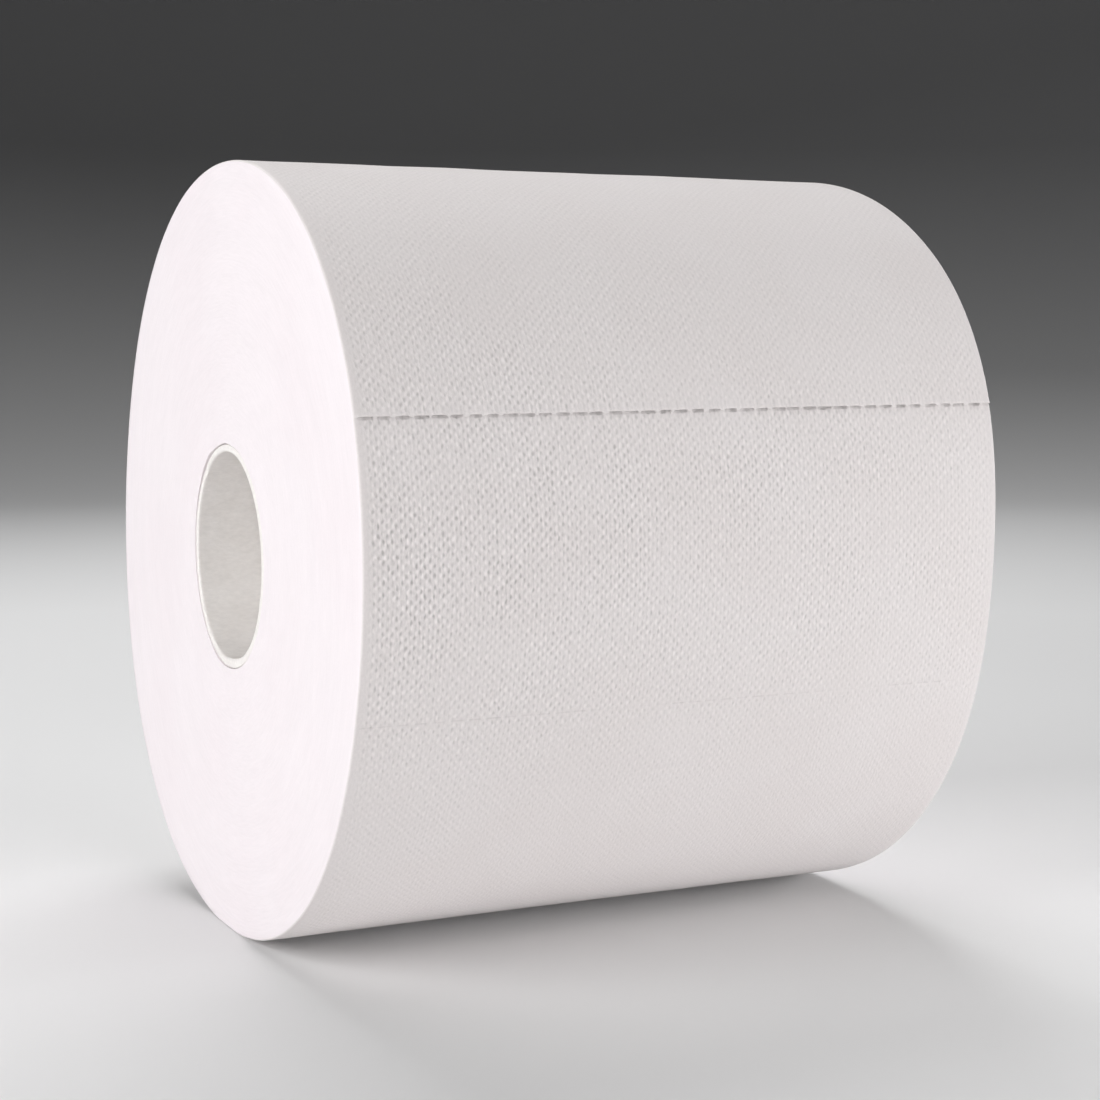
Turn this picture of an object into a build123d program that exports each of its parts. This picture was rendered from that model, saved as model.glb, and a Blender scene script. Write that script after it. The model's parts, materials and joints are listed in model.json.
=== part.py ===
from build123d import *
import math
import os

# Large perforated paper towel roll, lying on its side on the small flat spot
# that its own weight presses into it. A soft roll: it is a little out of round.
# Millimetres. X along the core, +Z up, origin on the floor below the middle.

# ---- driving dimensions -------------------------------------------------
roll_d = 260.0        # mean outer diameter of the wound roll
web_width = 220.0     # width of the web, which is the length of the roll and core
web_t = 0.35          # thickness of one embossed two-ply turn where it isn't pressed
sheet_len = 362.5     # distance from one perforation row to the next, along the web
core_od = 75.0        # outside of the paperboard core
core_wall = 2.5       # wall of the core
core_shift = (-2.6, -0.7)   # how far the core sits off the middle of the turns (Y, Z)
flat_w = 30.0         # width of the flat spot the roll lies on

# how a stored roll departs from a circle: waves around it, height of a crest,
# and the angle of a crest above the horizontal on the -Y side
out_of_round = [(2, 2.5, 46.0), (3, 0.3, -40.0), (4, 1.2, 40.0)]

tail_deg = 22.3       # where the free edge ends, above the horizontal on the -Y side

perf_pitch = 5.67     # one cut and one tie
perf_cut = 4.20       # length of a cut
perf_slit = 0.25      # width of a closed cut
perf_rows = [1, 2]    # rows in the exposed turn, counted in sheets from the free edge
tie_out = 0.50        # how far a torn tie stands out of the free edge

gap_r = 30.0          # radius of the hollow beside the leader that is glued to the core
gap_off = 8.4         # distance of that hollow's centre from the core's axis
gap_deg = 42.5        # its direction, above the horizontal on the +Y side

# ---- the outer turn is a spiral -----------------------------------------


def turn_radius(deg):
    """Radius of the exposed turn, deg degrees back from the free edge, over the top."""
    a = tail_deg + deg
    waves = sum(h * math.cos(math.radians(n * (a - crest))) for n, h, crest in out_of_round)
    return roll_d / 2 + waves - web_t * deg / 360.0


def from_middle(deg, lift=0.0):
    """(Y, Z) from the middle of the turns, deg degrees back from the free edge."""
    a = math.radians(tail_deg + deg)
    r = turn_radius(deg) + lift
    return (-r * math.cos(a), r * math.sin(a))


# arc length along the exposed turn, every tenth of a degree
steps = [from_middle(0.1 * i) for i in range(3601)]
arc_to = [0.0]
for p, q in zip(steps, steps[1:]):
    arc_to.append(arc_to[-1] + math.dist(p, q))


def deg_of_arc(arc):
    """Angle back from the free edge at which the web is arc millimetres long."""
    i = next(k for k, s in enumerate(arc_to) if s >= arc)
    return 0.1 * (i - (arc_to[i] - arc) / (arc_to[i] - arc_to[i - 1]))


# the flat spot is a chord at the bottom, flat_w wide, and it lies on Z 0
lowest = min(z for y, z in steps)
axis_z = -lowest
while True:
    below = [y for y, z in steps if z < -axis_z]
    if below and max(below) - min(below) >= flat_w:
        break
    axis_z -= 0.002


def on_turn(deg):
    """Point (Y, Z) of the exposed turn, deg degrees back from the free edge."""
    y, z = from_middle(deg)
    return (y, axis_z + z)


def web_plane(deg, lift=0.0):
    """Plane that touches the exposed turn deg degrees back, X along the roll."""
    (ya, za), (yb, zb) = from_middle(deg - 0.5), from_middle(deg + 0.5)
    run = math.hypot(yb - ya, zb - za)
    ny, nz = -(zb - za) / run, (yb - ya) / run      # outward normal
    y, z = from_middle(deg)
    return Plane(
        origin=(0, y + lift * ny, axis_z + z + lift * nz),
        x_dir=(1, 0, 0),
        z_dir=(0, ny, nz),
    )


core_y, core_z = core_shift[0], axis_z + core_shift[1]
cuts_in_row = int(web_width / perf_pitch)

# ---- towel web: all turns as one solid ----------------------------------
with BuildPart() as towel_web:
    with BuildSketch(Plane.YZ) as section:
        with BuildLine():
            turn = Spline([on_turn(5.0 * i) for i in range(73)])
            Line(turn @ 1, turn @ 0)          # the step down at the free edge
        make_face()
        # the flat spot
        with Locations((0, -10.0)):
            Rectangle(120.0, 20.0, mode=Mode.SUBTRACT)
        # the bore on the core
        with Locations((core_y, core_z)):
            Circle(core_od / 2, mode=Mode.SUBTRACT)
        # the first turn bridges the folded leader and leaves a crescent hollow
        with Locations(
            (
                core_y + gap_off * math.cos(math.radians(gap_deg)),
                core_z + gap_off * math.sin(math.radians(gap_deg)),
            )
        ):
            Circle(gap_r, mode=Mode.SUBTRACT)
    extrude(amount=web_width / 2, both=True)

    # rows of cuts through the exposed turn, one sheet and two sheets back
    for row in perf_rows:
        with BuildSketch(web_plane(deg_of_arc(row * sheet_len), lift=0.2)):
            with GridLocations(perf_pitch, 1.0, cuts_in_row, 1):
                Rectangle(perf_cut, perf_slit)
        extrude(amount=-(web_t + 0.2), mode=Mode.SUBTRACT)

    # torn ties along the free edge, lying on the turn below
    edge = web_plane(0.0)
    with BuildSketch(edge.offset(-web_t - 0.15)):
        with GridLocations(perf_pitch, 1.0, cuts_in_row, 1):
            with Locations((perf_pitch / 2, -tie_out / 2 + 0.1)):
                Rectangle(perf_pitch - perf_cut, tie_out + 0.2)
    extrude(amount=web_t + 0.05)

towel_web.part.label = "towel_web"

# ---- core: spiral-wound paperboard tube ---------------------------------
with BuildPart() as core_tube:
    with BuildSketch(Plane.YZ):
        with Locations((core_y, core_z)):
            Circle(core_od / 2)
            Circle(core_od / 2 - core_wall, mode=Mode.SUBTRACT)
    extrude(amount=web_width / 2, both=True)

core_tube.part.label = "core_tube"

# ---- output -------------------------------------------------------------
os.makedirs("parts", exist_ok=True)
export_step(towel_web.part, "parts/towel_web.step")
export_step(core_tube.part, "parts/core_tube.step")

print("middle of the turns at height", round(axis_z, 3))
print("core axis at", round(core_y, 3), round(core_z, 3))
print("flat spot from", round(min(below), 2), "to", round(max(below), 2))
print("rows at", [round(tail_deg + deg_of_arc(r * sheet_len), 2) for r in perf_rows], "degrees")
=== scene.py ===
import json
import math

import bmesh
import bpy
import numpy as np
from mathutils import Matrix
from mathutils.geometry import delaunay_2d_cdt


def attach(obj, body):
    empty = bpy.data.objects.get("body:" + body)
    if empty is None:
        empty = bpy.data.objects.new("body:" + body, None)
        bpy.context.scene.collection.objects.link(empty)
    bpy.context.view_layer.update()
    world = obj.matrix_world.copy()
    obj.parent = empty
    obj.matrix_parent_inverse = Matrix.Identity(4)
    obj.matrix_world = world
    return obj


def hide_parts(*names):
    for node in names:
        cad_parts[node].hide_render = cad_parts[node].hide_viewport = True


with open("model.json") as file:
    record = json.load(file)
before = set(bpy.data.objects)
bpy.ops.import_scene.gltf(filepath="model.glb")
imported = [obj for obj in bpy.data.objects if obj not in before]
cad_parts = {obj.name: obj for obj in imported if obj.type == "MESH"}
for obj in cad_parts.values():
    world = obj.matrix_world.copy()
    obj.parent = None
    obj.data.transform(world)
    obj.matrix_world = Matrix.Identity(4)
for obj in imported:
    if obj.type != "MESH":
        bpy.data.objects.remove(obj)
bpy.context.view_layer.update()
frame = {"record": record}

# The wound roll is modelled in millimetres and written in metres.
MM = 0.001

# ---- the CAD section, repeated ------------------------------------------
HALF = 110.0            # half the width of the web
ROLL_R = 130.0
WEB_T = 0.35
SHEET = 362.5
TAIL = 22.3             # angle of the free edge, above the horizontal on the -Y side
WAVES = ((2, 2.5, 46.0), (3, 0.3, -40.0), (4, 1.2, 40.0))
CORE_R = 37.5
BORE_R = 35.0
PITCH = 5.68            # one cut and one tie: four columns of dots
COL = 1.42              # columns of dots
ROW = 1.494             # rows of dots
FIRST_TIE = -103.8

bore = next(m for m in frame["record"]["mounts"] if m["name"] == "core_bore")
CORE_Y, CORE_Z = bore["pos_m"][1] / MM, bore["pos_m"][2] / MM
MID_Z = CORE_Z + 0.7    # height of the middle of the turns

rng = np.random.default_rng(20)


def smooth(a, b, x):
    t = np.clip((np.asarray(x, float) - a) / (b - a), 0.0, 1.0)
    return t * t * (3 - 2 * t)


def noise(p, seed):
    """Smooth value noise, -1 to 1, at points p (N, 3)."""
    p = np.asarray(p, float)
    i = np.floor(p).astype(np.int64)
    f = p - i
    f = f * f * (3 - 2 * f)

    def corner(dx, dy, dz):
        n = (i[:, 0] + dx) * 73856093 ^ (i[:, 1] + dy) * 19349663 ^ (i[:, 2] + dz) * 83492791
        n = (n ^ (seed * 7919)) & 0x7FFFFFFF
        n = ((n ^ (n >> 15)) * 2246822519) & 0x7FFFFFFF
        n = ((n ^ (n >> 13)) * 3266489917) & 0x7FFFFFFF
        return ((n ^ (n >> 16)) & 0xFFFF) / 32767.5 - 1.0

    out = 0.0
    for dx in (0, 1):
        for dy in (0, 1):
            for dz in (0, 1):
                w = (
                    (f[:, 0] if dx else 1 - f[:, 0])
                    * (f[:, 1] if dy else 1 - f[:, 1])
                    * (f[:, 2] if dz else 1 - f[:, 2])
                )
                out = out + w * corner(dx, dy, dz)
    return out


def wave(phi):
    return sum(h * np.cos(np.radians(n * (phi - crest))) for n, h, crest in WAVES)


# arc length of the exposed turn, back from the free edge over the top
DEG = np.arange(0.0, 372.0, 0.05)
RAD = ROLL_R + wave(TAIL + DEG) - WEB_T * DEG / 360.0
YY = -RAD * np.cos(np.radians(TAIL + DEG))
ZZ = RAD * np.sin(np.radians(TAIL + DEG))
ARC = np.concatenate([[0.0], np.cumsum(np.hypot(np.diff(YY), np.diff(ZZ)))])
TURN = float(np.interp(360.0, DEG, ARC))


def deg_at(u):
    u = np.asarray(u, float)
    return np.where(u < 0, u / 131.6 * 57.2958, np.interp(u, ARC, DEG))


def skew_at(deg):
    """The free edge isn't quite square to the core. Two sheets back the line is."""
    away = np.minimum(np.abs(deg), np.abs(360.0 - deg))
    return 0.35 * (1 - smooth(4.0, 38.0, away))


def place(s, deg, lift):
    """Points (N, 3) on the wound web. s is along the core, deg back from the free edge."""
    s, deg, lift = (np.asarray(a, float) for a in (s, deg, lift))
    phi = TAIL + deg + skew_at(deg) * s / HALF
    c, q = np.cos(np.radians(phi)), np.sin(np.radians(phi))
    at = np.stack([s, ROLL_R * c, ROLL_R * q], 1)
    soft = (
        0.16 * noise(at / 48.0, 1)
        + 0.07 * noise(at / 19.0, 2)
        + 0.07 * noise(np.stack([s / 11.0, c * 1.3, q * 1.3], 1), 3)
    )
    r = ROLL_R + wave(phi) - WEB_T * deg / 360.0 + soft + lift
    y, z = -r * c, MID_Z + r * q
    # the turns have wandered a little at the far end
    turn = (phi + 180.0) % 360.0 - 180.0
    out = 2.2 * np.exp(-(((turn - 40.0) / 26.0) ** 2)) - 1.2 * np.exp(-(((turn - 0.0) / 20.0) ** 2))
    x = s + out * ((s + HALF) / (2 * HALF)) ** 2
    return np.stack([x, y, np.maximum(z, 0.0)], 1), MID_Z + (r - lift) * q


# ---- columns -------------------------------------------------------------
S_COL = FIRST_TIE - 3 * COL + COL * np.arange(153)
RIM_S = ([-110.0, -109.7, -109.1], [108.9, 109.7, 110.0])
RIM_DROP = ([-0.45, -0.10, 0.0], [0.0, -0.10, -0.45])
S_COARSE = np.concatenate([RIM_S[0], S_COL, RIM_S[1]])
DROP_COARSE = np.concatenate([RIM_DROP[0], np.zeros(len(S_COL)), RIM_DROP[1]])
N_FINE = 2 * len(S_COL) - 1
DROP_FINE = np.concatenate([RIM_DROP[0], np.zeros(N_FINE), RIM_DROP[1]])


class Perforation:
    """One row of cuts and ties on the fine columns."""

    def __init__(self, lo, hi, narrow, shift=0):
        ties = 42
        self.half = rng.uniform(lo, hi, ties)
        thin = rng.random(ties) < narrow
        self.half[thin] = rng.uniform(0.12, 0.3, thin.sum())
        self.jog = rng.uniform(-0.28, 0.28, ties)
        self.level = np.clip(rng.normal(0.19, 0.09, ties), 0.06, 0.40)
        self.stub = rng.uniform(0.15, 0.75, ties)
        k = np.arange(N_FINE) + shift
        m, n = (k - 6) % 8, (k - 6) // 8 + 2
        tie = FIRST_TIE + PITCH * (n - 2) - 0.5 * COL * shift
        here = tie + self.jog[n]
        there = tie + PITCH + self.jog[n + 1]
        a = here + self.half[n] + 0.28
        b = there - self.half[n + 1] - 0.28
        self.s = np.select(
            [m == 0, m == 1, m == 2, m == 3, m == 4, m == 5, m == 6, m == 7],
            [here, here + self.half[n], a, a + (b - a) * 0.25, (a + b) / 2, a + (b - a) * 0.75, b, b + 0.28],
        )
        self.cut = ((m >= 2) & (m <= 6)).astype(float)
        bow = np.select([m == 2, m == 3, m == 4, m == 5, m == 6], [0.72, 0.97, 1.06, 0.97, 0.72], 0.0)
        tilt = 1 + 0.25 * np.sin(n * 2.4) * (m - 4) / 2.0
        self.up = self.cut * bow * tilt * self.level[n]
        # how far each part of a cut has opened
        self.open = self.cut * np.select([m == 2, m == 6], [0.7, 0.7], 1.0) * np.clip(rng.normal(1.0, 0.28, N_FINE), 0.4, 1.45)
        stub = np.where(m == 0, 1.0, 0.62) * np.where(m == 7, self.stub[n + 1], self.stub[n])
        self.out = np.where(self.cut > 0, 0.0, stub)
        # the rim columns end on the row like a tie
        self.s = np.concatenate([RIM_S[0], np.clip(self.s, -108.9, 108.6), RIM_S[1]])
        self.cut = np.concatenate([[0, 0, 0], self.cut, [1, 1, 1]])
        self.up = np.concatenate([[0, 0, 0], self.up, [0.3, 0.22, 0.2]])
        self.open = np.concatenate([[0, 0, 0], self.open, [0.6, 0.5, 0.4]])
        self.out = np.concatenate([[0.2, 0.25, 0.3], self.out, [0, 0, 0]])


tail = Perforation(0.35, 0.95, 0.2)
closed = {1: Perforation(0.5, 0.9, 0.15), 2: Perforation(0.5, 0.9, 0.15)}

# ---- rows ----------------------------------------------------------------
# the third list holds painted light for each point: painted shade where positive, painted highlight where negative
points, emboss, painted_shading, lattice, rows = [], [], [], [], []
count = 0


def add_row(fine, s, u, lift, amp=None, dots=None, sheet=0.0, shading_paint=0.0, seen=0.0):
    """Adds one row of points. u is the arc back from the free edge, in mm."""
    global count
    u = np.broadcast_to(np.asarray(u, float), s.shape)
    deg = deg_at(u)
    if amp is not None:
        height = place(s, deg, np.zeros_like(s))[1]
        amp = amp * smooth(0.05, 1.6, height)
        lift = lift + dots * (0.45 * np.minimum(amp, 1.0) + 0.55 * amp ** 2)
    at, height = place(s, deg, lift)
    points.append(at)
    emboss.append(np.broadcast_to(np.asarray(seen, float), s.shape) if amp is None else amp)
    # a row's painted light: painted shade where positive, painted highlight where negative
    painted_shading.append(np.broadcast_to(np.asarray(shading_paint, float), s.shape))
    lattice.append(np.stack([(s - S_COL[0]) / (2 * COL), (u - sheet) / (2 * ROW)], 1))
    rows.append((fine, np.arange(count, count + len(s))))
    count += len(s)


def clear_at(u):
    """How crisp the emboss is around the roll: handled and pressed, it is faint on top and below."""
    phi = (TAIL + deg_at(u) + 180.0) % 360.0 - 180.0
    behind = (phi - 185.0 + 180.0) % 360.0 - 180.0
    return 0.16 + 0.80 * np.exp(-(((phi - 8.0) / 28.0) ** 2)) + 0.36 * np.exp(-((behind / 58.0) ** 2))


def patch_at(s, u):
    """Strength of the emboss, 0 to 1: patchy, and weaker towards the far end."""
    at = np.stack([s / 13.0, np.broadcast_to(u, s.shape) / 17.0, np.zeros_like(s)], 1)
    big = np.stack([s / 44.0, np.broadcast_to(u, s.shape) / 60.0, np.full_like(s, 3.3)], 1)
    a = 0.86 + 0.26 * noise(at, 11) + 0.14 * noise(big, 12)
    a = a * (1.15 - 0.62 * np.clip((s + 100.0) / 200.0, 0, 1) ** 0.8) * clear_at(u)
    return np.clip(a, 0.12, 1.2) * smooth(1.2, 4.2, HALF - np.abs(s))


EMBOSS = 0.15           # mm that a dot is pressed in
nf = len(tail.s)

# the loose edge, seen from outside, with a painted highlight on the lifted lip and on the ties
lip = tail.cut > 0
add_row(True, tail.s, np.where(lip, 0.10 * (tail.open - 1.0), -tail.out), DROP_FINE + np.where(lip, tail.up, -0.21), shading_paint=np.where(lip, -0.75, -0.45))
add_row(True, tail.s, np.where(lip, 0.35, 0.10), DROP_FINE + np.where(lip, 0.74 * tail.up, -0.05), shading_paint=np.where(lip, -0.5, -0.2), seen=0.3)
add_row(True, tail.s, 0.9, DROP_FINE + 0.3 * tail.up + 0.01, seen=0.7 * patch_at(tail.s, 0.9))
FIRST = 1.95
specials = [(row, row * SHEET) for row in closed]
j = 0
u = FIRST
pending = list(specials)
fine_at = []
while u < TURN - 1.75:
    if pending and u > pending[0][1] - 0.85:
        row, mid = pending.pop(0)
        cuts = closed[row]
        amp = 0.6 * patch_at(cuts.s, mid)
        shown = 0.12 + 0.43 * smooth(-0.4, 0.5, noise(np.stack([cuts.s / 21.0, np.full_like(cuts.s, row * 5.5), 0 * cuts.s], 1), 15))
        # each closed cut: painted shade on the two slit rows, a faint painted highlight on the row after
        for du, press, shading_paint in ((-0.36, 0.05, 0.0), (-0.10, -0.27, 0.75), (0.10, -0.27, 0.75), (0.36, 0.05, -0.2)):
            add_row(True, cuts.s, mid + du, DROP_FINE + press * cuts.open * shown, shading_paint=shading_paint * cuts.open * shown, sheet=FIRST, seen=amp)
        while u < mid + 0.85:
            u += ROW
            j += 1
        continue
    i = np.arange(len(S_COL))
    down = np.where((i + j) % 2 == 0, -1.0, 0.4) * EMBOSS
    dots = np.concatenate([[0, 0, 0], down, [0, 0, 0]])
    amp = patch_at(S_COARSE, u)
    amp = amp * (0.8 if u < 2.5 or u > TURN - 2.6 else 1.0)
    lift = DROP_COARSE + (0.05 * np.interp(S_COARSE, tail.s, tail.up) if u < 2.5 else 0.0)
    add_row(False, S_COARSE, u, lift, amp, dots, sheet=FIRST)
    rows[-1] = rows[-1] + (j,)
    u += ROW
    j += 1

# the turn below the loose edge, dented along the cuts, and the pocket under it, with painted shade in the dents, the
# pocket and the turn hidden under the flap
below = ((-1.1, 0.0, 0.0, 0.1), (-0.55, -0.01, -0.20, 0.85), (-0.1, -0.03, -0.36, 1.0), (0.9, -0.04, -0.36, 1.0), (1.8, -0.04, 0.0, 1.0))
spread = np.where(tail.cut > 0, rng.uniform(-0.40, 0.15, nf), 0.0)
for du, lift, dent, shading_paint in below:
    # the rows hidden under the flap get painted shade
    shade_under_flap = 0.0 if du < 0 else 0.6
    if du == -0.55:
        # the dents run out unevenly
        du = du + spread
    add_row(True, tail.s, TURN + du, DROP_FINE + lift + dent * tail.open, sheet=FIRST, shading_paint=np.maximum(shading_paint * tail.open, shade_under_flap), seen=np.where(du < -1, 0.9, 0.5) * patch_at(tail.s, TURN + du))
# the underside of the loose edge, with painted shade
add_row(True, tail.s, 0.9, DROP_FINE - 0.33 + 0.3 * tail.up, shading_paint=0.8)
add_row(True, tail.s, np.where(lip, 0.10 * (tail.open - 1.0), -tail.out), DROP_FINE - 0.33 + tail.up, shading_paint=np.where(lip, 0.6, 0.0))

# ---- faces of the side -----------------------------------------------------
tris = []
for r in range(len(rows)):
    a, b = rows[r], rows[(r + 1) % len(rows)]
    va, vb = a[1], b[1]
    if a[0] == b[0]:
        q0, q1, q2, q3 = va[:-1], va[1:], vb[1:], vb[:-1]
        if not a[0]:
            # the split joins the raised points, so that each dot is a pit
            k = np.arange(len(q0)) - 3
            down = (k + a[2]) % 2 == 0
        else:
            down = np.arange(len(q0)) % 2 == 0
        tris.append(np.stack([np.where(down, q0, q0), np.where(down, q1, q1), np.where(down, q3, q2)], 1))
        tris.append(np.stack([np.where(down, q1, q0), np.where(down, q2, q2), np.where(down, q3, q3)], 1))
    else:
        c, f = (vb, va) if a[0] else (va, vb)
        for edge_c, edge_f in ((c[:4], f[:4]), (c[-4:], f[-4:])):
            tris.append(np.stack([edge_c[:-1], edge_c[1:], edge_f[1:]], 1))
            tris.append(np.stack([edge_c[:-1], edge_f[1:], edge_f[:-1]], 1))
        cm, fm = c[3:-3], f[3:-3]
        a0, b0 = cm[:-1], cm[1:]
        f0, f1, f2 = fm[:-2:2], fm[1:-1:2], fm[2::2]
        tris += [np.stack([a0, f0, f1], 1), np.stack([a0, f1, b0], 1), np.stack([b0, f1, f2], 1)]
side = np.concatenate(tris)
print("rows", len(rows), "side triangles", len(side))

points = [np.concatenate(points)]
emboss = [np.concatenate(emboss)]
painted_shading = [np.concatenate(painted_shading)]
lattice = [np.concatenate(lattice)]

# ---- cut ends and the bore --------------------------------------------------
N_BORE = 160
theta = 2 * np.pi * np.arange(N_BORE) / N_BORE        # above +Y


def turn_from(centre, width):
    """1 at centre, 0 far from it, degrees above +Y."""
    d = (np.degrees(theta) - centre + 180.0) % 360.0 - 180.0
    return np.exp(-((d / width) ** 2))


def bore_radius(ragged):
    """The first turn on the core: a crescent beside the glued leader, ragged where it was cut."""
    d = theta - math.radians(42.5)
    crescent = 8.4 * np.cos(d) + np.sqrt(900.0 - (8.4 * np.sin(d)) ** 2)
    r = np.maximum(CORE_R + 0.03, crescent)
    rough = noise(np.stack([np.cos(theta) * 6.0, np.sin(theta) * 6.0, 0 * theta], 1), 31)
    loose = 0.5 * turn_from(61.0, 9.0) + 0.45 * turn_from(-70.0, 13.0) + 0.2 * turn_from(150.0, 25.0)
    loose += 0.28 * turn_from(8.0, 17.0) + 0.2 * turn_from(86.0, 5.0)
    loose -= 0.62 * turn_from(36.0, 7.0) * smooth(0.0, 0.5, r - CORE_R)
    return np.maximum(r + ragged * (loose + 0.16 * np.clip(rough, 0, 1)), CORE_R + 0.03)


loops = []
for x, ragged in ((-110.0, 1.0), (-109.2, 0.7), (-105.0, 0.5), (-60.0, 0.2), (60.0, 0.2), (105.0, 0.5), (109.2, 0.7), (110.0, 1.0)):
    r = bore_radius(ragged)
    points.append(np.stack([np.full(N_BORE, x), CORE_Y + r * np.cos(theta), CORE_Z + r * np.sin(theta)], 1))
    emboss.append(np.zeros(N_BORE))
    painted_shading.append(np.zeros(N_BORE))
    lattice.append(np.zeros((N_BORE, 2)))
    loops.append(np.arange(count, count + N_BORE))
    count += N_BORE
caps = []
for a, b in zip(loops, loops[1:]):
    a1, b1 = np.roll(a, -1), np.roll(b, -1)
    caps += [np.stack([a, a1, b1], 1), np.stack([a, b1, b], 1)]

all_so_far = np.concatenate(points)
for end, x_end, bore_loop in ((0, -110.0, loops[0]), (-1, 110.0, loops[-1])):
    outer = np.array([r[1][end] for r in rows])
    outer_yz = all_so_far[outer][:, 1:]
    outer_x = all_so_far[outer][:, 0]
    bore_yz = all_so_far[bore_loop][:, 1:]
    # rings between the bore and the outside
    ring_yz, ring_x = [], []
    outer_phi = np.arctan2(outer_yz[:, 1] - CORE_Z, outer_yz[:, 0] - CORE_Y)
    order = np.argsort(outer_phi)
    for t in (0.015, 0.05, 0.11, 0.2, 0.3, 0.4, 0.5, 0.6, 0.7, 0.79, 0.87, 0.93, 0.972):
        n = int(150 + 60 * t)
        ang = 2 * np.pi * (np.arange(n) + 0.5 * (len(ring_yz) % 2)) / n - np.pi
        r_out = np.interp(ang, outer_phi[order], np.hypot(outer_yz[order, 0] - CORE_Y, outer_yz[order, 1] - CORE_Z), period=2 * np.pi)
        x_out = np.interp(ang, outer_phi[order], outer_x[order], period=2 * np.pi)
        r_in = CORE_R + 1.3
        r = r_in + (r_out - r_in) * t
        y, z = CORE_Y + r * np.cos(ang), CORE_Z + r * np.sin(ang)
        face = np.sign(x_end)
        relief = 0.22 * noise(np.stack([y / 40.0, z / 40.0, np.full(n, 5.0 + face)], 1), 41)
        relief += 0.12 * noise(np.stack([r / 5.0, np.cos(ang) * 1.2, np.sin(ang) * 1.2 + 7 * face], 1), 42)
        relief *= smooth(0.0, 0.1, t) * (1 - smooth(0.9, 1.0, t))
        ring_yz.append(np.stack([y, z], 1))
        ring_x.append(x_end + (x_out - x_end) * smooth(0.0, 1.0, t) + relief)
    flat = np.concatenate([outer_yz, bore_yz] + ring_yz)
    n_o, n_b = len(outer), len(bore_loop)
    edges = [(i, (i + 1) % n_o) for i in range(n_o)] + [(n_o + i, n_o + (i + 1) % n_b) for i in range(n_b)]
    got = delaunay_2d_cdt([tuple(map(float, p)) for p in flat], edges, [], 1, 1e-7)
    back = [o[0] if o else -1 for o in got[3]]
    if -1 in back:
        raise RuntimeError("an end face has a crossing edge")
    new_points = np.concatenate([np.concatenate(ring_x)[:, None], np.concatenate(ring_yz)], 1)
    points.append(new_points)
    emboss.append(np.zeros(len(new_points)))
    painted_shading.append(np.zeros(len(new_points)))
    lattice.append(np.zeros((len(new_points), 2)))
    ids = np.concatenate([outer, bore_loop, np.arange(count, count + len(new_points))])
    count += len(new_points)
    bore_r = np.hypot(bore_yz[:, 0] - CORE_Y, bore_yz[:, 1] - CORE_Z)
    kept = []
    for f in got[2]:
        k = [back[v] for v in f]
        if all(n_o <= v < n_o + n_b for v in k):
            c = flat[k].mean(0) - (CORE_Y, CORE_Z)
            a = math.atan2(c[1], c[0]) % (2 * math.pi)
            if math.hypot(*c) < np.interp(a, theta, bore_r, period=2 * np.pi):
                continue
        kept.append([ids[v] for v in k])
    caps.append(np.array(kept))
caps = np.concatenate(caps)

co = np.concatenate(points) * MM
emboss = np.concatenate(emboss)
painted_shading = np.concatenate(painted_shading)
lattice = np.concatenate(lattice)
faces = np.concatenate([side, caps])
kinds = np.concatenate([np.zeros(len(side), np.int32), np.ones(len(caps), np.int32)])
print("points", len(co), "triangles", len(faces))


def make_mesh(name, co, faces, kinds=None):
    me = bpy.data.meshes.new(name)
    me.vertices.add(len(co))
    me.vertices.foreach_set("co", np.asarray(co, np.float32).ravel())
    me.loops.add(3 * len(faces))
    me.loops.foreach_set("vertex_index", np.asarray(faces, np.int32).ravel())
    me.polygons.add(len(faces))
    me.polygons.foreach_set("loop_start", np.arange(0, 3 * len(faces), 3, dtype=np.int32))
    if kinds is not None:
        me.polygons.foreach_set("material_index", np.asarray(kinds, np.int32))
    me.update(calc_edges=True)
    me.validate()
    return me


def finish_mesh(me, angle):
    bm = bmesh.new()
    bm.from_mesh(me)
    bmesh.ops.recalc_face_normals(bm, faces=bm.faces)
    bad = sum(1 for e in bm.edges if not e.is_manifold)
    volume = bm.calc_volume(signed=True)
    if volume < 0:
        bmesh.ops.reverse_faces(bm, faces=bm.faces)
    bm.to_mesh(me)
    bm.free()
    print(me.name, "open or shared edges", bad, "volume cm3", round(abs(volume) * 1e6, 1))
    me.polygons.foreach_set("use_smooth", np.ones(len(me.polygons), bool))
    me.set_sharp_from_angle(angle=math.radians(angle))


def link(name, me):
    ob = bpy.data.objects.new(name, me)
    bpy.context.scene.collection.objects.link(ob)
    return ob


web_mesh = make_mesh("wound_towel", co, faces, kinds)
layer = web_mesh.uv_layers.new(name="lattice")
loop_vertex = np.empty(len(web_mesh.loops), np.int32)
web_mesh.loops.foreach_get("vertex_index", loop_vertex)
layer.uv.foreach_set("vector", lattice[loop_vertex].astype(np.float32).ravel())
for label, values in (("emboss", emboss), ("painted_shading", painted_shading)):
    attr = web_mesh.attributes.new(label, "FLOAT", "POINT")
    attr.data.foreach_set("value", values.astype(np.float32))
finish_mesh(web_mesh, 42.0)
web = link("wound_towel", web_mesh)

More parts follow.
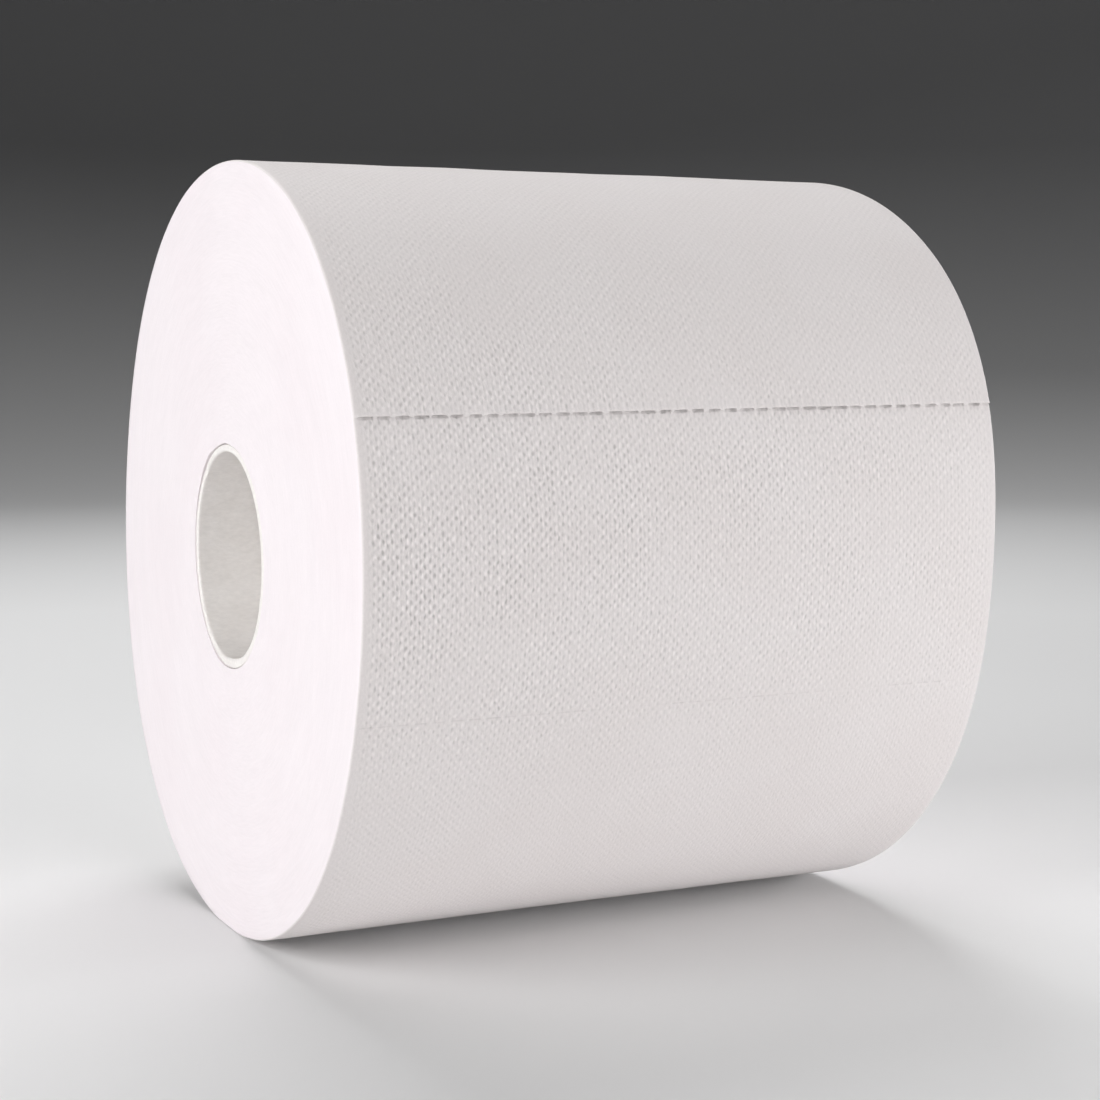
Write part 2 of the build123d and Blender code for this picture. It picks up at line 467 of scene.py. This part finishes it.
# ---- core tube ---------------------------------------------------------------
N_AROUND = 176
phi = 2 * np.pi * np.arange(N_AROUND) / N_AROUND
xs = np.concatenate([[-109.6], np.linspace(-108.9, 108.9, 62), [109.6]])
profile = []                     # (x, radius) once around the wall
for x in xs:
    profile.append((x, BORE_R))
profile += [(109.93, BORE_R + 0.32), (110.0, BORE_R + 0.9), (109.9, CORE_R - 0.9), (109.75, CORE_R - 0.3)]
for x in xs[::-2]:
    profile.append((x, CORE_R))
profile += [(-109.75, CORE_R - 0.3), (-109.9, CORE_R - 0.9), (-110.0, BORE_R + 0.9), (-109.93, BORE_R + 0.32)]
profile = np.array(profile)
tube = []
for x, r in profile:
    inner = smooth(1.5, 0.0, abs(r - BORE_R))
    # the innermost ply is wound in a helix, and its edges meet in a shallow seam
    seam = ((x / 96.0 * 2 * np.pi - phi) % (2 * np.pi)) * BORE_R
    seam = np.minimum(seam, 2 * np.pi * BORE_R - seam)
    rough = noise(np.stack([np.full(N_AROUND, x / 9.0), np.cos(phi) * 4.0, np.sin(phi) * 4.0], 1), 51)
    end = smooth(2.0, 0.0, HALF - abs(x))
    chips = noise(np.stack([np.full(N_AROUND, np.sign(x)), np.cos(phi) * 9.0, np.sin(phi) * 9.0], 1), 52)
    low = np.degrees(phi) - 263.0
    # the near mouth is bruised at the bottom, and both mouths are ragged where they were cut
    bruise = 0.85 * np.exp(-((low / 16.0) ** 2)) * smooth(16.0, 0.0, x + HALF)
    rr = r + inner * (0.07 * np.exp(-((seam / 0.7) ** 2)) + 0.03 * rough - bruise - 0.30 * end * np.clip(chips, 0, 1)) - (1 - inner) * 0.02
    xx = x + end * (0.05 * rough + 0.10 * chips)
    tube.append(np.stack([xx, CORE_Y + rr * np.cos(phi), CORE_Z + rr * np.sin(phi)], 1))
tube = np.array(tube)
n_p = len(profile)
ids = np.arange(n_p * N_AROUND).reshape(n_p, N_AROUND)
a, b = ids, np.roll(ids, -1, 0)
a1, b1 = np.roll(a, -1, 1), np.roll(b, -1, 1)
tube_faces = np.concatenate([np.stack([a, a1, b1], 2).reshape(-1, 3), np.stack([a, b1, b], 2).reshape(-1, 3)])
core_mesh = make_mesh("paperboard_core", tube.reshape(-1, 3) * MM, tube_faces)
finish_mesh(core_mesh, 50.0)
core = link("paperboard_core", core_mesh)


# ---- materials -----------------------------------------------------------------
class Shader:
    """A small helper that adds nodes and wires them."""

    def __init__(self, name):
        self.mat = bpy.data.materials.new(name)
        self.mat.use_nodes = True
        self.tree = self.mat.node_tree
        self.tree.nodes.clear()
        self.out = self.add("ShaderNodeOutputMaterial")
        self.bsdf = self.add("ShaderNodeBsdfPrincipled")
        self.tree.links.new(self.bsdf.outputs[0], self.out.inputs["Surface"])

    def add(self, kind, props=None, **ins):
        n = self.tree.nodes.new(kind)
        for k, v in (props or {}).items():
            setattr(n, k, v)
        for k, v in ins.items():
            self.put(n.inputs[int(k[1:])] if k[0] == "i" and k[1:].isdigit() else n.inputs[k.replace("_", " ")], v)
        return n

    def put(self, socket, v):
        if isinstance(v, bpy.types.NodeSocket):
            self.tree.links.new(v, socket)
        else:
            socket.default_value = v

    def math(self, op, a, b=0.0, c=None, clamp=False):
        n = self.tree.nodes.new("ShaderNodeMath")
        n.operation = op
        n.use_clamp = clamp
        self.put(n.inputs[0], a)
        self.put(n.inputs[1], b)
        if c is not None:
            self.put(n.inputs[2], c)
        return n.outputs[0]

    def noise(self, where, scale, detail=2.0, rough=0.5, stretch=None, dims="3D", out="Fac"):
        if stretch is not None:
            where = self.vmath("MULTIPLY", where, stretch)
        n = self.add("ShaderNodeTexNoise", {"noise_dimensions": dims}, Vector=where, Scale=scale, Detail=detail, Roughness=rough)
        return n.outputs[out]

    def vmath(self, op, a, b=(0, 0, 0)):
        n = self.tree.nodes.new("ShaderNodeVectorMath")
        n.operation = op
        self.put(n.inputs[0], a)
        self.put(n.inputs[1], b)
        return n.outputs[0]

    def remap(self, v, a, b, c, d):
        n = self.add("ShaderNodeMapRange", Value=v)
        for k, x in zip(("From Min", "From Max", "To Min", "To Max"), (a, b, c, d)):
            n.inputs[k].default_value = x
        return n.outputs["Result"]

    def mix(self, f, a, b, how="MIX"):
        n = self.tree.nodes.new("ShaderNodeMix")
        n.data_type = "RGBA"
        n.blend_type = how
        self.put(n.inputs["Factor"], f)
        self.put(n.inputs[6], a)
        self.put(n.inputs[7], b)
        return n.outputs[2]

    def bump(self, height, distance, normal=None, strength=1.0):
        n = self.tree.nodes.new("ShaderNodeBump")
        n.inputs["Strength"].default_value = strength
        n.inputs["Distance"].default_value = distance
        self.put(n.inputs["Height"], height)
        if normal is not None:
            self.put(n.inputs["Normal"], normal)
        return n.outputs[0]


def lattice_of(sh):
    """Coordinates of the emboss, with each dot a little out of line."""
    uv = sh.add("ShaderNodeUVMap", {"uv_map": "lattice"}).outputs[0]
    jitter = sh.noise(uv, 1.25, 0.0, dims="2D", out="Color")
    return uv, sh.vmath("ADD", uv, sh.vmath("MULTIPLY", sh.vmath("SUBTRACT", jitter, (0.5, 0.5, 0.5)), (0.2, 0.22, 0)))


def spots_of(sh, x, y, ahead, wide, tall):
    """1 in the middle of each oval spot of the lattice, 0 between them. Sizes in mm."""
    total = None
    for shift in (0.0, 0.5):
        parts = []
        for v, off, size in ((x, ahead / 2.84, 2.84 / wide), (y, 0.0, 2.99 / tall)):
            f = sh.math("FRACT", sh.math("ADD", v, shift + 0.5 - off))
            f = sh.math("MULTIPLY", sh.math("SUBTRACT", f, 0.5), size)
            parts.append(sh.math("MULTIPLY", f, f))
        d = sh.math("ADD", parts[0], parts[1])
        g = sh.math("SUBTRACT", 1.0, d, clamp=True)
        g = sh.math("MULTIPLY", g, g)
        total = g if total is None else sh.math("ADD", total, g)
    return total


def towel_side():
    sh = Shader("towel_side")
    where = sh.add("ShaderNodeTexCoord").outputs["Object"]
    uv, moved = lattice_of(sh)
    split = sh.add("ShaderNodeSeparateXYZ", Vector=moved)
    amp = sh.add("ShaderNodeAttribute", {"attribute_name": "emboss"}).outputs["Fac"]
    # painted light from the mesh: painted shade where positive, painted highlight where negative
    shading_paint = sh.add("ShaderNodeAttribute", {"attribute_name": "painted_shading"}).outputs["Fac"]
    # pressed dots, some of them hardly there: pits in the bump, and painted shade in the colour
    uneven = sh.remap(sh.noise(uv, 1.55, 0.0, dims="2D"), 0.30, 0.70, 0.30, 1.30)
    dot = sh.math("MULTIPLY", spots_of(sh, split.outputs[0], split.outputs[1], 0.0, 0.62, 1.25), uneven)
    # the paper pushed up beside each dot: a ridge in the bump, and a painted highlight in the colour
    uneven = sh.remap(sh.noise(uv, 1.0, 0.0, 0.5, (2.1, 1.5, 0), "2D"), 0.28, 0.72, 0.15, 1.45)
    ridge = sh.math("MULTIPLY", spots_of(sh, split.outputs[0], split.outputs[1], -0.95, 0.78, 1.6), uneven)
    # crepe: streaks that run round the roll
    streak = sh.remap(sh.noise(uv, 1.0, 1.0, 0.6, (5.2, 1.15, 0), "2D"), 0.3, 0.7, -1.0, 1.0)
    fibre = sh.noise(uv, 5.0, 1.0, 0.6, (1.0, 0.6, 0), "2D")
    # in places the dots run together into slanting lines, one way high up and the other low down
    flip = sh.remap(sh.add("ShaderNodeSeparateXYZ", Vector=where).outputs[2], 0.062, 0.085, 1.0, -1.0)
    across = sh.math("ADD", split.outputs[0], sh.math("MULTIPLY", split.outputs[1], flip))
    along = sh.math("SUBTRACT", split.outputs[0], sh.math("MULTIPLY", split.outputs[1], flip))
    slant = sh.add("ShaderNodeCombineXYZ", X=across, Y=along).outputs[0]
    there = sh.remap(sh.noise(slant, 1.0, 0.0, 0.5, (0.55, 0.21, 0), "2D"), 0.46, 0.74, 0.0, 1.0)
    lines = sh.math("MULTIPLY", sh.math("COSINE", sh.math("MULTIPLY", across, 2 * math.pi)), sh.math("MULTIPLY", there, sh.math("ADD", sh.math("MULTIPLY", amp, 0.8), 0.35)))
    # colour from the relief: painted shade in the dots, a painted highlight on the ridges, and the crepe streaks' own
    # tone
    press = sh.math("SUBTRACT", sh.math("ADD", sh.math("MULTIPLY", ridge, 0.18), sh.math("MULTIPLY", streak, 0.052)), sh.math("MULTIPLY", dot, 0.255))
    shade = sh.math("ADD", sh.remap(fibre, 0.3, 0.7, 0.978, 1.022), sh.math("MULTIPLY", press, amp))
    shade = sh.math("SUBTRACT", shade, sh.math("MULTIPLY", lines, 0.034))
    # painted shade and painted highlight multiplied into the colour
    shade = sh.math("MULTIPLY", shade, sh.math("SUBTRACT", 1.0, sh.math("MULTIPLY", shading_paint, sh.remap(shading_paint, 0.0, 0.1, 0.11, 0.18))))
    patch = sh.noise(where, 30.0, 1.0, 0.6)
    tone = sh.mix(sh.remap(patch, 0.35, 0.65, 0.0, 1.0), (0.772, 0.727, 0.722, 1), (0.782, 0.740, 0.737, 1))
    grey = sh.add("ShaderNodeCombineColor", Red=shade, Green=shade, Blue=shade).outputs[0]
    colour = sh.mix(1.0, tone, grey, "MULTIPLY")
    # heights in metres
    relief = sh.math("SUBTRACT", sh.math("ADD", sh.math("MULTIPLY", ridge, 0.00012), sh.math("MULTIPLY", streak, 0.000035)), sh.math("MULTIPLY", dot, 0.00018))
    relief = sh.math("ADD", sh.math("MULTIPLY", relief, amp), sh.math("MULTIPLY", fibre, 0.00006))
    sh.put(sh.bsdf.inputs["Base Color"], colour)
    sh.put(sh.bsdf.inputs["Normal"], sh.bump(relief, 1.0))
    sh.bsdf.inputs["Roughness"].default_value = 0.93
    sh.bsdf.inputs["Specular IOR Level"].default_value = 0.22
    sh.bsdf.inputs["Sheen Weight"].default_value = 0.12
    sh.bsdf.inputs["Sheen Roughness"].default_value = 0.6
    return sh.mat


def towel_end():
    sh = Shader("towel_cut_end")
    where = sh.add("ShaderNodeTexCoord").outputs["Object"]
    split = sh.add("ShaderNodeSeparateXYZ", Vector=where)
    y = sh.math("SUBTRACT", split.outputs[1], CORE_Y * MM)
    z = sh.math("SUBTRACT", split.outputs[2], CORE_Z * MM)
    r = sh.math("SQRT", sh.math("ADD", sh.math("MULTIPLY", y, y), sh.math("MULTIPLY", z, z)))
    # turns: noise that is long around the roll and short across it
    round_y = sh.math("DIVIDE", y, r)
    round_z = sh.math("DIVIDE", z, r)
    turns = sh.add("ShaderNodeCombineXYZ", X=sh.math("MULTIPLY", r, 900.0), Y=sh.math("MULTIPLY", round_y, 7.0), Z=sh.math("MULTIPLY", round_z, 7.0)).outputs[0]
    fine = sh.noise(turns, 1.6, 2.0, 0.6)
    bands = sh.noise(sh.vmath("MULTIPLY", turns, (0.16, 0.35, 0.35)), 1.0, 1.0, 0.5)
    fibre = sh.noise(where, 1500.0, 1.0, 0.6)
    patch = sh.noise(where, 17.0, 1.0, 0.5)
    # the cut end is paler and pinker than the side: partly the cut fibres' own tone, partly painted light on the end
    # face
    tone = sh.mix(sh.remap(patch, 0.38, 0.62, 0.0, 1.0), (0.868, 0.806, 0.830, 1), (0.876, 0.820, 0.843, 1))
    shade = sh.math("ADD", sh.remap(fine, 0.3, 0.7, 0.978, 1.015), sh.remap(bands, 0.3, 0.7, -0.008, 0.008))
    shade = sh.math("ADD", shade, sh.remap(fibre, 0.3, 0.7, -0.01, 0.01))
    grey = sh.add("ShaderNodeCombineColor", Red=shade, Green=shade, Blue=shade).outputs[0]
    colour = sh.mix(1.0, tone, grey, "MULTIPLY")
    n = sh.bump(bands, 0.00018)
    n = sh.bump(fine, 0.00006, n)
    n = sh.bump(fibre, 0.00004, n)
    sh.put(sh.bsdf.inputs["Base Color"], colour)
    sh.put(sh.bsdf.inputs["Normal"], n)
    sh.bsdf.inputs["Roughness"].default_value = 0.95
    sh.bsdf.inputs["Specular IOR Level"].default_value = 0.2
    return sh.mat


def core_board():
    sh = Shader("core_board")
    where = sh.add("ShaderNodeTexCoord").outputs["Object"]
    fibre = sh.noise(where, 900.0, 2.0, 0.6, (0.45, 1.0, 1.0))
    mottle = sh.noise(where, 120.0, 2.0, 0.55)
    tone = sh.mix(sh.remap(mottle, 0.35, 0.65, 0.0, 1.0), (0.855, 0.822, 0.797, 1), (0.88, 0.849, 0.827, 1))
    shade = sh.remap(fibre, 0.3, 0.7, 0.95, 1.03)
    grey = sh.add("ShaderNodeCombineColor", Red=shade, Green=shade, Blue=shade).outputs[0]
    sh.put(sh.bsdf.inputs["Base Color"], sh.mix(1.0, tone, grey, "MULTIPLY"))
    n = sh.bump(mottle, 0.0002)
    sh.put(sh.bsdf.inputs["Normal"], sh.bump(fibre, 0.00005, n))
    sh.bsdf.inputs["Roughness"].default_value = 0.8
    sh.bsdf.inputs["Specular IOR Level"].default_value = 0.3
    return sh.mat


web_mesh.materials.append(towel_side())
web_mesh.materials.append(towel_end())
core_mesh.materials.append(core_board())

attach(web, "root")
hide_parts("towel_web")
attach(core, "root")
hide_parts("core_tube")

# ---- stage: a pale floor that curves up into a wall all round ---------------------
FLOOR_R, FILLET, WALL = 3.2, 1.2, 1.7
curve = [(0.0, 0.0), (0.5, 0.0), (1.5, 0.0), (FLOOR_R - FILLET, 0.0)]
for k in range(1, 25):
    a = math.radians(90.0 * k / 24)
    curve.append((FLOOR_R - FILLET + FILLET * math.sin(a), FILLET * (1 - math.cos(a))))
curve.append((FLOOR_R, WALL))
n_a = 96
verts, polys = [], []
for r, z in curve[1:]:
    for k in range(n_a):
        verts.append((r * math.cos(2 * math.pi * k / n_a), r * math.sin(2 * math.pi * k / n_a), z - 0.00015))
centre = len(verts)
verts.append((0.0, 0.0, -0.00015))
for k in range(n_a):
    polys.append((centre, k, (k + 1) % n_a))
for i in range(len(curve) - 2):
    for k in range(n_a):
        polys.append((i * n_a + k, (i + 1) * n_a + k, (i + 1) * n_a + (k + 1) % n_a, i * n_a + (k + 1) % n_a))
stage_mesh = bpy.data.meshes.new("studio_floor")
stage_mesh.from_pydata(verts, [], polys)
stage_mesh.polygons.foreach_set("use_smooth", np.ones(len(polys), bool))
studio = link("studio_floor", stage_mesh)
# pale floor paper, with painted shade that darkens it away from the roll and up the wall
sh = Shader("studio_paper")
where = sh.add("ShaderNodeTexCoord").outputs["Object"]
split = sh.add("ShaderNodeSeparateXYZ", Vector=where)
x, y, z = split.outputs
flat = sh.math("SQRT", sh.math("ADD", sh.math("MULTIPLY", x, x), sh.math("MULTIPLY", y, y)))
far = sh.math("MULTIPLY", sh.math("SUBTRACT", flat, 0.9), 0.35, clamp=True)
far = sh.math("ADD", far, sh.math("MULTIPLY", z, 0.5), clamp=True)
paper = sh.mix(far, (0.80, 0.80, 0.802, 1), (0.22, 0.22, 0.223, 1))
grain = sh.remap(sh.noise(where, 1.2, 0.0), 0.3, 0.7, 0.985, 1.0)
grain = sh.add("ShaderNodeCombineColor", Red=grain, Green=grain, Blue=grain).outputs[0]
sh.put(sh.bsdf.inputs["Base Color"], sh.mix(1.0, paper, grain, "MULTIPLY"))
sh.bsdf.inputs["Roughness"].default_value = 0.9
sh.bsdf.inputs["Specular IOR Level"].default_value = 0.1
stage_mesh.materials.append(sh.mat)


# ---- lights -------------------------------------------------------------------------
def softbox(name, at, target, size, watts, spread=180.0):
    data = bpy.data.lights.new(name, "AREA")
    data.shape = "RECTANGLE"
    data.size, data.size_y = size
    data.energy = watts
    data.spread = math.radians(spread)
    ob = bpy.data.objects.new(name, data)
    bpy.context.scene.collection.objects.link(ob)
    ob.visible_camera = False
    back = np.array(at, float) - np.array(target, float)
    back /= np.linalg.norm(back)
    right = np.cross((0, 0, 1) if abs(back[2]) < 0.99 else (0, 1, 0), back)
    right /= np.linalg.norm(right)
    up = np.cross(back, right)
    m = Matrix.Identity(4)
    for row in range(3):
        m[row][0], m[row][1], m[row][2], m[row][3] = right[row], up[row], back[row], at[row]
    ob.matrix_world = m
    return ob


ON = (0, 0, 0.13)
softbox("left_high", (-1.9, -0.35, 1.1), ON, (1.4, 1.2), 28.8)
softbox("overhead", (0, 0, 2.0), ON, (1.3, 1.3), 5.2)
softbox("overhead_back", (0.3, 1.2, 1.8), ON, (1.2, 1.2), 22.6)
softbox("back_right", (1.5, 1.4, 1.2), ON, (1.2, 1.2), 6.0)
softbox("low_left", (-1.2, -1.3, 0.26), ON, (1.2, 0.36), 1.31, 60.0)
softbox("low_right", (0.9, -0.8, 0.12), ON, (0.7, 0.14), 0.34, 70.0)
softbox("close_right", (0.8, -0.42, 0.19), ON, (0.4, 0.2), 1.03, 90.0)
# the glow that a white table gives under the roll
softbox("table_glow", (0, -0.105, 0.0015), (0, -0.105, 1.0), (0.215, 0.10), 0.0108)

world = bpy.data.worlds.new("studio_air")
world.use_nodes = True
world.node_tree.nodes["Background"].inputs[0].default_value = (1, 1, 1, 1)
world.node_tree.nodes["Background"].inputs[1].default_value = 0.0
bpy.context.scene.world = world

# ---- camera --------------------------------------------------------------------------
yaw, pitch = math.radians(64.2699), math.radians(-2.3564)
cam_data = bpy.data.cameras.new("main_camera")
cam_data.sensor_width = 36.0
cam_data.sensor_fit = "HORIZONTAL"
cam_data.lens = 70.5344
cam_data.clip_start, cam_data.clip_end = 0.05, 50.0
cam = bpy.data.objects.new("main_camera", cam_data)
bpy.context.scene.collection.objects.link(cam)
CAM_AT = (-0.32481, -0.69278, 0.19833 - 0.1291 + MID_Z * MM)
along = np.array([math.sin(yaw) * math.cos(pitch), math.sin(pitch), math.cos(yaw) * math.cos(pitch)])
tip = math.atan2(-along[1], along[2])
zw = np.array([0, -math.cos(tip), -math.sin(tip)])
yw = np.cross(zw, along)
m = Matrix.Identity(4)
for row, v in enumerate((along, yw, zw)):
    m[row][0], m[row][1], m[row][2], m[row][3] = v[0], -v[1], -v[2], CAM_AT[row]
cam.matrix_world = m
bpy.context.scene.camera = cam

scene = bpy.context.scene
scene.view_settings.view_transform = "Standard"
scene.view_settings.look = "None"

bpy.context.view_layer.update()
